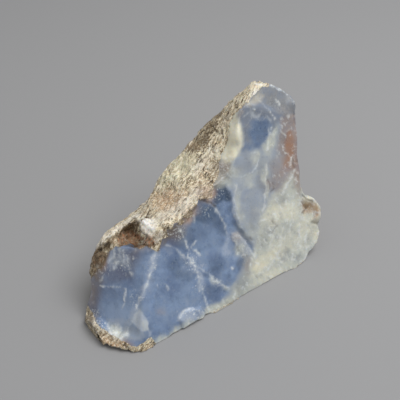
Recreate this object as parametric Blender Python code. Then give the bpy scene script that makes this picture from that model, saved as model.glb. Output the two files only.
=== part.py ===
"""A rough piece of blue chalcedony, broken from a vein.

Two fresh fracture faces meet at a ridge in front. Weathered rind covers the top slope, the back and the
ends. Sizes are in millimetres until the last step. X runs along the front edge, Y goes away from the
fractured face, Z is up, and the near bottom corner of the front face is the drawing's zero.
"""

import math

import bmesh
import bpy
import numpy as np
from mathutils import Matrix, Vector, noise
from mathutils.geometry import tessellate_polygon

MM = 0.001
BASE_CENTRE = (32.5, 19.4)  # the middle of the stone's length and depth, which becomes the origin
SUNK = -1.5  # the blank reaches this far below the flat it stands on
VOXEL = 0.5
TRIANGLES = 8600

# Going round the stone from the near corner: a corner of the front faces, one on its shoulder, one behind.
CORNERS = [
    ((0, 0.8, 2.2), (-1.6, -0.9, 0.2), (8, 16, SUNK)),
    ((7, 0.9, 2.5), (7, -0.5, -1.3), (9, 20, SUNK)),
    ((12, 0.9, 2.5), (12, -0.2, SUNK), (14, 33, SUNK)),
    ((16, 0.9, 2.5), (16, 0.8, SUNK), (19, 35, SUNK)),
    ((22, 0.9, 2.5), (22.2, 0.5, SUNK), (23, 36, SUNK)),
    ((25, 0.7, 2.5), (24.5, -2.1, SUNK), (28, 36.5, SUNK)),
    ((31, 0.7, 2.5), (31, -2, SUNK), (32, 36.5, SUNK)),
    ((38, 0.9, 2.5), (38, -1.1, SUNK), (39, 36, SUNK)),
    ((50, 0.9, 2.5), (50, -0.9, SUNK), (50, 34, SUNK)),
    ((58.2, 0.9, 2.5), (58.2, -1.7, SUNK), (57, 29, SUNK)),
    ((62.5, 0.8, 2.3), (62.5, -0.4, -0.8), (61, 26, 0)),
    ((66, 1, 2.8), (66, 2, 0.8), (63, 24, 1)),
    ((69.6, 1.3, 3.5), (68, 11, 3), (66, 22, 3)),
    ((71.4, 2.6, 7), (70, 12, 6.5), (67, 22, 7)),
    ((70.9, 3.3, 9), (69.8, 12, 9), (67.2, 22, 9.5)),
    ((72.9, 4.2, 11.6), (71.5, 11, 11.6), (67.5, 22, 12)),
    ((73, 5.3, 14.6), (71.8, 11.5, 14.8), (67.5, 22, 15)),
    ((70.3, 6.6, 18.1), (69.4, 12, 16.9), (67, 23, 18)),
    ((67.3, 7.1, 19.6), (66.6, 13, 19.4), (66, 24, 20.5)),
    ((66.7, 8.6, 23.5), (66.6, 14.5, 24), (65, 25.5, 25)),
    ((66.9, 10.6, 29.2), (66.6, 16, 29.5), (64.5, 26, 30)),
    ((67.2, 12.3, 33.8), (67, 17.5, 34), (64.8, 26, 34)),
    ((68.5, 14.5, 40), (68, 19, 39.5), (65.2, 25.6, 39)),
    ((69.4, 17.1, 47), (68.8, 20.5, 45), (66.2, 24.5, 43)),
    ((69, 18.4, 50.6), (69.1, 21.2, 48.6), (67.4, 24.8, 46)),
    ((66.6, 19.5, 53.6), (67.3, 22, 51.6), (66.4, 25.2, 48.8)),
    ((63, 20.5, 56.3), (64.2, 22.8, 54.2), (64.6, 26, 51.2)),
    ((59.4, 21.1, 58), (60.8, 23.4, 56), (61.6, 26.6, 53)),
    ((55.5, 21.7, 59.5), (57, 23.7, 57.5), (58.6, 26.8, 54.4)),
    ((52.4, 19.7, 54.6), (53.9, 23, 55.1), (56.1, 26.6, 53)),
    ((48.7, 18.9, 52.1), (49.9, 21.3, 51.4), (51.5, 28.9, 49.6)),
    ((46.7, 17.6, 48.8), (47.6, 20.7, 49), (48.6, 29.6, 47)),
    ((46.3, 15.6, 42.9), (42.8, 18.8, 42.6), (43.2, 29.8, 43.9)),
    ((42.2, 13.9, 38.2), (39.9, 17.3, 39.6), (39.4, 30, 40.6)),
    ((38.5, 13, 35.6), (37.4, 15.7, 36.8), (35.8, 30.6, 37.6)),
    ((34.1, 12.8, 35), (34.6, 15.5, 35.6), (31.1, 31.6, 33)),
    ((29, 12, 33), (29.5, 15, 33.6), (27.5, 31.2, 30.5)),
    ((22.5, 11.1, 30.2), (23, 14, 30.8), (22.5, 29, 26.2)),
    ((16, 10.4, 28.6), (17.2, 15, 29), (18.2, 28.6, 23)),
    ((11, 13.4, 25), (12.6, 17.5, 25.2), (15.1, 28.2, 22.3)),
    ((7.3, 18.7, 21.9), (9, 22.5, 22.2), (11.5, 28.6, 21.6)),
    ((2.4, 24.6, 17.9), (3.6, 27, 19.4), (5.2, 29.3, 20.1)),
    ((0.1, 26.6, 15.2), (0.9, 28.2, 16.2), (3, 29.9, 15.6)),
    ((-1.1, 25.5, 12.8), (0.2, 28, 12.5), (3, 30, 11)),
    ((-3.4, 21.9, 7.8), (-1, 26, 7.5), (2.5, 29.5, 5.5)),
    ((-5.6, 20.4, 4.2), (-2.6, 25, 4), (2.5, 28.5, 2.5)),
    ((-6.6, 19.6, 2.7), (-6.4, 21.6, 1.2), (3, 27, 0.2)),
    ((-4.6, 17.2, 4), (-8, 17, 1.6), (3, 25, -1)),
    ((-3.4, 13.5, 4), (-8.4, 12.8, 1.6), (4, 23, SUNK)),
    ((-2.3, 10, 4), (-8.2, 8.6, 1.5), (5, 21, SUNK)),
    ((-1.2, 6.3, 4), (-6.9, 4.6, 1.3), (6, 19, SUNK)),
    ((-0.2, 3, 3.6), (-4.6, 1.2, 0.9), (7, 17, SUNK)),
]
RIDGE_TOP_AT = 38  # the ridge ends between this corner and the next
RIDGE_TOP = (13.5, 9.8, 26.9)
BACK_BULGE = (31, 40, 17)

# Flat splits, each a point and the way it faces.
FRONT_FACE = ((0, 0, 0), (0, -0.940, 0.342))
LEFT_FACE = ((-2.2, 0.7, 0), (-0.798, -0.249, 0.549))
RIDGE_BEVEL = ((6.3, 5.7, 12.9), (-0.451, -0.690, 0.563))
TOP_FACET = ((61, 17.6, 48.3), (0.155, -0.802, 0.576))
BACK_SPLITS = [
    ((40, 36, 24), (0.12, 0.97, 0.20)),
    ((12, 36, 6), (-0.30, 0.85, -0.42)),
    ((58, 30, 12), (0.62, 0.74, -0.26)),
]

# Drawn on the front face: millimetres along the front edge, and up the leaning face.
FLOOR_EDGE = [
    (12.0, 31.0), (18.2, 30.6), (23.9, 32.6), (29.0, 35.2), (31.4, 34.5), (34.1, 37.6), (38.7, 36.2),
    (38.6, 33.4), (39.4, 31.6), (39.1, 26.5), (40.6, 20.9), (43.0, 16.6), (43.8, 11.5), (42.2, 9.0),
]
FLOOR_REST = [(30.0, -4.0), (-4.0, -4.0), (-4.0, 20.0)]
FLOOR_DEPTH = 1.1
FLOOR_REACH = 13.0
TONGUE = [(36.9, 21.3), (39.2, 20.3), (42.2, 15.3), (42.0, 11.0), (39.6, 12.6), (37.4, 18.4)]
TONGUE_RISE = 0.6
BOTTOM_FLAKE = [(13.2, 4.0), (16.0, 5.6), (21.2, 4.0), (22.5, -2.0), (14.0, -2.0)]
FLAKE_RISE = 0.6
RUST_DENT = ((61.8, 38.5), (3.6, 7.5))
DENT_DEPTH = 1.2

# The cave, its depth under the rim, its end below the knob, a small one at the far end: centre, half sizes.
HOLLOWS = [
    ((11.6, 21.4, 24.4), (6, 5.4, 4.8)),
    ((12.4, 24.6, 20.8), (4, 3.2, 3)),
    ((14.6, 16.6, 23.6), (2.8, 2.4, 2.0)),
    ((2, 26.6, 18.2), (2.6, 1.7, 2.2)),
]
WHITE_KNOB = ((14.6, 17.8, 26.3), (2.5, 2.6, 2.8))
LUMPINESS = 0.35
TOE_CRUST_TOP = 4.2


def unit(vector):
    return np.array(Vector(vector).normalized())


def face_upward():
    """The direction that runs straight up the leaning front face."""
    return np.cross((1, 0, 0), unit(FRONT_FACE[1])) * -1


def smooth_step(low, high, value):
    share = np.clip((value - low) / (high - low), 0, 1)
    return share * share * (3 - 2 * share)


def wavy(points, size, seed):
    """Smooth noise from about -1 to 1 at each point, with lumps about as wide as size."""
    shift = Vector((seed * 17.3, seed * 5.7, seed * 11.1))
    return np.array([noise.noise(Vector(p) / size + shift) for p in points])


def distance_to_line(points, line):
    """How far each flat point is from a broken line."""
    best = np.full(len(points), np.inf)
    for start, end in zip(line, line[1:]):
        a, b = np.array(start, float), np.array(end, float)
        along = np.clip((points - a) @ (b - a) / ((b - a) @ (b - a)), 0, 1)
        best = np.minimum(best, np.linalg.norm(points - a - along[:, None] * (b - a), axis=1))
    return best


def inside(points, outline):
    """True for each flat point that lies within a closed outline."""
    found = np.zeros(len(points), bool)
    x, y = points[:, 0], points[:, 1]
    for (x0, y0), (x1, y1) in zip(outline, outline[1:] + outline[:1]):
        crosses = (y0 > y) != (y1 > y)
        if y0 != y1:
            found ^= crosses & (x < x0 + (y - y0) * (x1 - x0) / (y1 - y0))
    return found


def signed_edge(points, outline):
    """Distance inside a closed outline, and below zero outside it."""
    return distance_to_line(points, outline + outline[:1]) * np.where(inside(points, outline), 1, -1)


def close_with(bm, loop):
    """Fills a ring of corners that is nearly flat, following its outline."""
    for triangle in tessellate_polygon([[v.co for v in loop]]):
        bm.faces.new([loop[i] for i in triangle])


def blank():
    """The stone's corners joined up, before its surface is worked."""
    bm = bmesh.new()
    front, shoulder, back = ([bm.verts.new(row[i]) for row in CORNERS] for i in range(3))
    for near, far in ((front, shoulder), (shoulder, back)):
        for i in range(len(near)):
            bm.faces.new((near[i - 1], near[i], far[i], far[i - 1]))
    ridge_top = bm.verts.new(RIDGE_TOP)
    close_with(bm, front[: RIDGE_TOP_AT + 1] + [ridge_top])
    close_with(bm, front[RIDGE_TOP_AT + 1 :] + [front[0], ridge_top])
    bm.faces.new((front[RIDGE_TOP_AT], front[RIDGE_TOP_AT + 1], ridge_top))
    bulge = bm.verts.new(BACK_BULGE)
    for i in range(len(back)):
        bm.faces.new((back[i - 1], back[i], bulge))
    bmesh.ops.triangulate(bm, faces=bm.faces)
    bmesh.ops.recalc_face_normals(bm, faces=bm.faces)
    return bm


def split_off(bm, point, outward):
    """Cuts away what lies beyond a plane and closes the cut."""
    whole = bm.verts[:] + bm.edges[:] + bm.faces[:]
    cut = bmesh.ops.bisect_plane(bm, geom=whole, plane_co=point, plane_no=outward, clear_outer=True)
    edges = [e for e in cut["geom_cut"] if isinstance(e, bmesh.types.BMEdge) and e.is_boundary]
    bmesh.ops.holes_fill(bm, edges=edges, sides=0)
    bmesh.ops.triangulate(bm, faces=[f for f in bm.faces if len(f.verts) > 3])


def mesh_object(name, bm):
    mesh = bpy.data.meshes.new(name)
    bm.to_mesh(mesh)
    bm.free()
    made = bpy.data.objects.new(name, mesh)
    bpy.context.collection.objects.link(made)
    return made


def lumpy_ball(name, centre, half_sizes):
    """An ellipsoid with an uneven surface."""
    bm = bmesh.new()
    bmesh.ops.create_icosphere(bm, subdivisions=4, radius=1)
    for vertex in bm.verts:
        vertex.co *= 1 + LUMPINESS * noise.noise(vertex.co * 1.6 + Vector(centre))
    bmesh.ops.transform(bm, matrix=Matrix.Translation(centre) @ Matrix.Diagonal((*half_sizes, 1)), verts=bm.verts)
    return mesh_object(name, bm)


def combine(stone, tool, operation):
    boolean = stone.modifiers.new(tool.name, "BOOLEAN")
    boolean.object = tool
    boolean.operation = operation
    boolean.solver = "EXACT"


def evaluated(stone):
    """The stone's mesh with its modifiers applied, as a bmesh."""
    bpy.context.view_layer.update()
    bm = bmesh.new()
    bm.from_object(stone, bpy.context.evaluated_depsgraph_get())
    return bm


def rough_block():
    """The blank with its splits, hollows and knob, as an even fine mesh."""
    bm = blank()
    for point, outward in (RIDGE_BEVEL, TOP_FACET, *BACK_SPLITS):
        split_off(bm, point, outward)
    stone = mesh_object("block", bm)
    hollows = [lumpy_ball(f"hollow_{i}", *size) for i, size in enumerate(HOLLOWS)]
    knob = lumpy_ball("knob", *WHITE_KNOB)
    for hollow in hollows:
        combine(stone, hollow, "DIFFERENCE")
    combine(stone, knob, "UNION")
    even = stone.modifiers.new("even", "REMESH")
    even.mode = "VOXEL"
    even.voxel_size = VOXEL
    fine = evaluated(stone)
    for used in (stone, *hollows, knob):
        bpy.data.objects.remove(used)
    return fine


def fracture_relief(drawn):
    """How far the front face stands out from flat: the sunk blue floor and its ledge, and smaller marks."""
    from_ledge = distance_to_line(drawn, FLOOR_EDGE)
    on_floor = smooth_step(-0.3, 0.5, signed_edge(drawn, FLOOR_EDGE + FLOOR_REST))
    fade = smooth_step(7, 15, drawn[:, 1]) * np.exp(-((from_ledge / FLOOR_REACH) ** 2))
    relief = -FLOOR_DEPTH * on_floor * fade
    relief += TONGUE_RISE * smooth_step(-0.2, 0.6, signed_edge(drawn, TONGUE))
    relief += FLAKE_RISE * smooth_step(-0.2, 0.5, signed_edge(drawn, BOTTOM_FLAKE))
    from_dent = (drawn - np.array(RUST_DENT[0])) / np.array(RUST_DENT[1])
    relief -= DENT_DEPTH * np.exp(-(from_dent**2).sum(axis=1))
    return relief


def freshness(places, normals):
    """One on the broken faces, and none on weathered rind."""
    fresh = np.zeros(len(places))
    for point, outward in (FRONT_FACE, LEFT_FACE, RIDGE_BEVEL, TOP_FACET):
        beyond = (places - np.array(point)) @ unit(outward)
        facing = smooth_step(0.45, 0.72, normals @ unit(outward))
        fresh = np.maximum(fresh, smooth_step(-1.1, -0.4, beyond) * facing)
    toe = smooth_step(1.5, -1.5, places[:, 0]) * smooth_step(0.8, -0.8, places[:, 2] - TOE_CRUST_TOP)
    return fresh * (1 - toe)


def worked_surface(bm):
    """Moves the fine mesh's points: ledges and gentle waves on fresh faces, lumps and pits on rind."""
    bm.normal_update()
    places = np.array([v.co for v in bm.verts])
    normals = np.array([v.normal for v in bm.verts])
    fresh = freshness(places, normals)
    on_front = fresh * smooth_step(0.5, 0.75, normals @ unit(FRONT_FACE[1]))
    drawn = np.column_stack((places[:, 0], places @ face_upward()))
    waves = 0.40 * wavy(places, 11, 1) + 0.16 * wavy(places, 4, 2)
    lumps = 0.8 * wavy(places, 12, 3) + 0.5 * wavy(places, 5, 4) + 0.3 * wavy(places, 2.4, 5)
    pits = -0.5 * smooth_step(0.25, 0.65, wavy(places, 3.4, 6))
    moved = np.outer(on_front * fracture_relief(drawn), unit(FRONT_FACE[1]))
    moved += normals * (fresh * waves + (1 - fresh) * (lumps + pits))[:, None]
    for vertex, place in zip(bm.verts, places + moved):
        vertex.co = place


def stand_flat(bm):
    """Cuts the underside flat where the stone rests, and puts the origin at the middle of its base."""
    split_off(bm, (0, 0, 0), (0, 0, -1))
    bmesh.ops.translate(bm, verts=bm.verts, vec=(-BASE_CENTRE[0], -BASE_CENTRE[1], 0))
    bmesh.ops.scale(bm, verts=bm.verts, vec=(MM, MM, MM))


def chalcedony_material():
    material = bpy.data.materials.new("chalcedony")
    material.use_nodes = True
    shader = material.node_tree.nodes["Principled BSDF"]
    shader.inputs["Base Color"].default_value = (0.19, 0.26, 0.42, 1)
    shader.inputs["Roughness"].default_value = 0.35
    shader.inputs["Metallic"].default_value = 0.0
    return material


def chalcedony():
    fine = rough_block()
    worked_surface(fine)
    draft = mesh_object("draft", fine)
    fewer = draft.modifiers.new("fewer", "DECIMATE")
    fewer.ratio = TRIANGLES / sum(len(p.vertices) - 2 for p in draft.data.polygons)
    bm = evaluated(draft)
    bpy.data.objects.remove(draft)
    stand_flat(bm)
    stone = mesh_object("chalcedony", bm)
    stone.data.materials.append(chalcedony_material())
    stone.data.shade_smooth()
    stone.data.set_sharp_from_angle(angle=math.radians(35))


for old in list(bpy.data.objects):
    bpy.data.objects.remove(old)
chalcedony()
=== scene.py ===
"""A rough piece of blue chalcedony on a pale studio floor.

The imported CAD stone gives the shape. Its surface is rebuilt here as a fine mesh: the broken faces get their
sharp ledges, ripples and raised veins, and the weathered rind gets its grain and pits. Each point then
carries how much of every tint it has, and one node group turns those tints into colour, gloss and fine bump.

Shapes are in millimetres in the drawing frame of the CAD source. Tints are drawn in pixels of the 400 x 400
photograph, and a point of the stone takes the tint of the place where the camera sees it. On the sides that
the photograph hides, the tints come and go in lumps of noise instead.
"""

import bmesh
import bpy
import numpy as np
from bpy.props import FloatProperty, FloatVectorProperty, PointerProperty
from mathutils import Matrix, Vector, noise


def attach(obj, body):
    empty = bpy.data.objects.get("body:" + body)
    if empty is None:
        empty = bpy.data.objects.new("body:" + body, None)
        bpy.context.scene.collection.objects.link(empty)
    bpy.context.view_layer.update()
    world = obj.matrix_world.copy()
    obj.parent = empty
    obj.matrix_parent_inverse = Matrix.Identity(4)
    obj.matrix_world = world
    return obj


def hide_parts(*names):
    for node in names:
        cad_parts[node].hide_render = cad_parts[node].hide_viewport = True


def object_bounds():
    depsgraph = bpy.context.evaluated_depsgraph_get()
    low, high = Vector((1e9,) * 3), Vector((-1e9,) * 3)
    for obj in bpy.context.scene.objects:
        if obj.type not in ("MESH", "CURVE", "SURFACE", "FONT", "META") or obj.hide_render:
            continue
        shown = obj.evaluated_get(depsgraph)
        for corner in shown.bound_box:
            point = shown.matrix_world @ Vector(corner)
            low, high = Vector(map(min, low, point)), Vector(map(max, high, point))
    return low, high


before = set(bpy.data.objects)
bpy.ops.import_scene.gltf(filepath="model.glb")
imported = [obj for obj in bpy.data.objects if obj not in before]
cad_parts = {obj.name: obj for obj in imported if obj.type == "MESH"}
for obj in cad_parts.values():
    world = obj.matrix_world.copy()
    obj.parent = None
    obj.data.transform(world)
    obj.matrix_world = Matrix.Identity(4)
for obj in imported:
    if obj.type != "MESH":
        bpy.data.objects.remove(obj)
cad_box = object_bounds()

bl_info = {
    "name": "Rough Blue Chalcedony",
    "version": (1, 0, 0),
    "blender": (4, 5, 0),
    "location": "View3D > Sidebar > Chalcedony",
    "description": "Builds a rough piece of blue chalcedony and its studio",
    "category": "Add Mesh",
}

MM = 0.001
NODE = "chalcedony"
BODY = "root"
DRAWING_ORIGIN = np.array((32.5, 19.4, 0.0))  # where the model's origin lies in the drawing frame
PHOTO_SIZE = 400  # pixels along each side of the photograph

# The broken faces: a point on each and the way it faces.
FRONT_FACE = ((0, 0, 0), (0, -0.940, 0.342))
LEFT_FACE = ((-2.2, 0.7, 0), (-0.798, -0.249, 0.549))
RIDGE_BEVEL = ((6.3, 5.7, 12.9), (-0.451, -0.690, 0.563))
TOP_FACET = ((61, 17.6, 48.3), (0.155, -0.802, 0.576))
SLOPE = (23, 6.6, 18.6)  # the rind's grain runs up the slope along this
FEATHERS = (0.35, 0.3, -0.85)  # the pale end's feathery crystals run down along this
RIDGE_SOFTNESS = 1.6  # how widely two broken faces round into each other
EXPONENT_LIMIT = 30  # keeps the blend of the faces within the numbers a computer holds

# How squarely the surface faces a broken face's way, and how many millimetres it lies from that face, where
# it is left as it is and where it is levelled.
FACES_IT = (0.55, 0.8)
LIES_NEAR = (1.5, 0.8)

# Smoothing away the CAD stone's facets.
LOOK_ROUND = 8  # rounds of averaging that show which way the stone faces broadly
SMOOTH_ROUNDS = 16
IS_FLAT = (0.90, 0.985)  # how well a point agrees with that way on a real edge, and on flat stone
SMOOTH_SHARES = (0.05, 0.55)  # how much is averaged on an edge, and on flat stone

# Drawn on the front face: millimetres along the front edge, and up the leaning face.
FLOOR_EDGE = [
    (12.0, 31.0), (18.2, 30.6), (23.9, 32.6), (29.0, 35.2), (31.4, 34.5), (34.1, 37.6), (38.7, 36.2),
    (38.6, 33.4), (39.4, 31.6), (39.1, 26.5), (40.6, 20.9), (43.0, 16.6), (43.8, 11.5), (42.2, 9.0),
]
FLOOR_REST = [(30.0, -4.0), (-4.0, -4.0), (-4.0, 20.0)]
FLOOR_DEPTH = 0.65
FLOOR_REACH = 13.0  # the sunk floor rises to the open face again about this far from its ledge
FLOOR_START = (7, 15)  # and it begins between these two heights up the face
LEDGE_SLOPE = (-0.6, 0.9)  # how far the ledge's slope reaches, out of the floor and into it
TONGUE = [(36.9, 21.3), (39.2, 20.3), (42.2, 15.3), (42.0, 11.0), (39.6, 12.6), (37.4, 18.4)]
BOTTOM_FLAKE = [(13.2, 4.0), (16.0, 5.6), (21.2, 4.0), (22.5, -2.0), (14.0, -2.0)]
RAISED_FORMS = ((TONGUE, 0.5, (-0.4, 0.8)), (BOTTOM_FLAKE, 0.6, (-0.4, 0.7)))  # with rise and reach of slope
RUST_DENT = ((61.8, 38.5), (3.6, 7.5))  # centre and half sizes
DENT_DEPTH = 1.2

# Layers of noise: the height of each, the width of its lumps and its seed.
WAVES = ((0.40, 11, 1), (0.16, 4, 2))  # the broken faces' gentle waves, as in the CAD source
RIPPLES = ((0.09, 2.6, 7), (0.04, 1.1, 8))
FEATHER_RELIEF = ((0.07, 1.4, 9),)
SPECKLE_RELIEF = ((0.10, 0.8, 15),)
LONG_GRAINS = ((0.24, 1.2, 10), (0.20, 0.75, 11))
ROUND_GRAINS = ((0.16, 0.7, 12),)
WORN_PATCHES = ((1.0, 15, 25), (0.35, 4, 26), (0.15, 1.5, 27))
FEATHER_STRETCH = 4.5
GRAIN_STRETCH = 3
VEIN_RISE = 0.12
CRACK_DEPTH = 0.25
PIT_DEPTH = 0.35
PIT_PLACES = (1.4, 13, 0.2, 0.5)  # the noise's width and seed, and where pits begin and are deepest
CAVE_PIT_DEPTH = 0.8
CAVE_PIT_PLACES = (1.3, 14, 0.0, 0.5)
WORN_DEPTH = 0.5  # the worn patches' depth, where no rind is left
WORN_SHARE = 0.45  # how much of the rind they have lost
WORN_FROM = (0.15, 0.5)  # values of their noise between which the rind thins out

# What the camera sees of the surface.
SIGHT_CELL = 3.0  # pixels of the photograph in which only the nearest surface is seen
CELL_ROW = 1000  # numbers from one row of cells to the next
TURNED_AWAY = (-0.6, -0.3)  # how squarely the surface faces the camera where it is hidden, and where seen
BEHIND = (7, 4)  # millimetres behind the nearest surface where a point is hidden, and where it is seen

STONE_IOR = 1.54
SCATTER_COLOUR = (0.8, 1.0, 1.4)  # how far red, green and blue light spread in the stone, next to each other
SCATTER_REACH = 1.5 * MM

# From here on, places are pixels of the photograph. The broken faces lie within this outline.
FRESH_OUTLINE = [
    (257, 92), (261, 87), (267, 86), (274, 80), (300, 90), (310, 160), (330, 200), (335, 240), (310, 290),
    (240, 330), (160, 352), (153, 338), (147, 339), (143, 344), (137, 347), (130, 344), (124, 340),
    (117, 337), (110, 334), (104, 330), (98, 325), (93, 316), (88, 307), (78, 300), (78, 287), (88, 284),
    (92, 277), (96, 271), (100, 266), (104, 260), (108, 253), (113, 249.5), (121, 246), (130, 244),
    (138, 248.5), (146, 245), (152, 249), (156, 252), (160, 247), (161, 240), (168, 238), (166, 231),
    (173, 230), (176, 224), (183, 225), (184, 218), (191, 216), (192, 208), (198, 206), (199, 200.5),
    (205, 200), (212, 197), (213, 187.5), (215, 180), (218, 172), (219, 165), (222, 155), (227, 144),
    (229, 132), (230, 122), (236, 112), (242, 106), (250, 99),
]

RIND_EDGE = 1.8  # half width of the rind's soft edge
RIND_FRAY = ((2.0, 1.6, 21), (1.8, 4, 23))  # how far noise pushes it about, and the noise's width and seed

# How far coarse and fine noise push the soft patches, the clearer forms and the thin lines about.
COARSE_NOISE = (3, 31)
FINE_NOISE = (1.2, 34)
PATCH_SHIFT = (4.0, 1.5)
AREA_SHIFT = (1.2, 0.8)
LINE_SHIFT = (1.2, 1.4)
GLINT_SHIFT = 2.0

# Layers of noise that thin a line out and thicken it again, between two values of theirs. Each thing that
# they change goes from thin to thick.
BROKEN_UP = ((1.0, 2.2, 33), (0.5, 0.9, 36))
BROKEN_FROM = (-0.4, 0.4)
VEIN_WIDTHS = (0.7, 1.5)
VEIN_STRENGTHS = (0.4, 1.0)
CRACK_WIDTHS = (0.7, 1.3)

PATCH_FALL = 0.7  # how fast a soft patch fades towards its edge
PATCH_FLATNESS = 1.3  # above 1, it is more even inside

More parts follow.
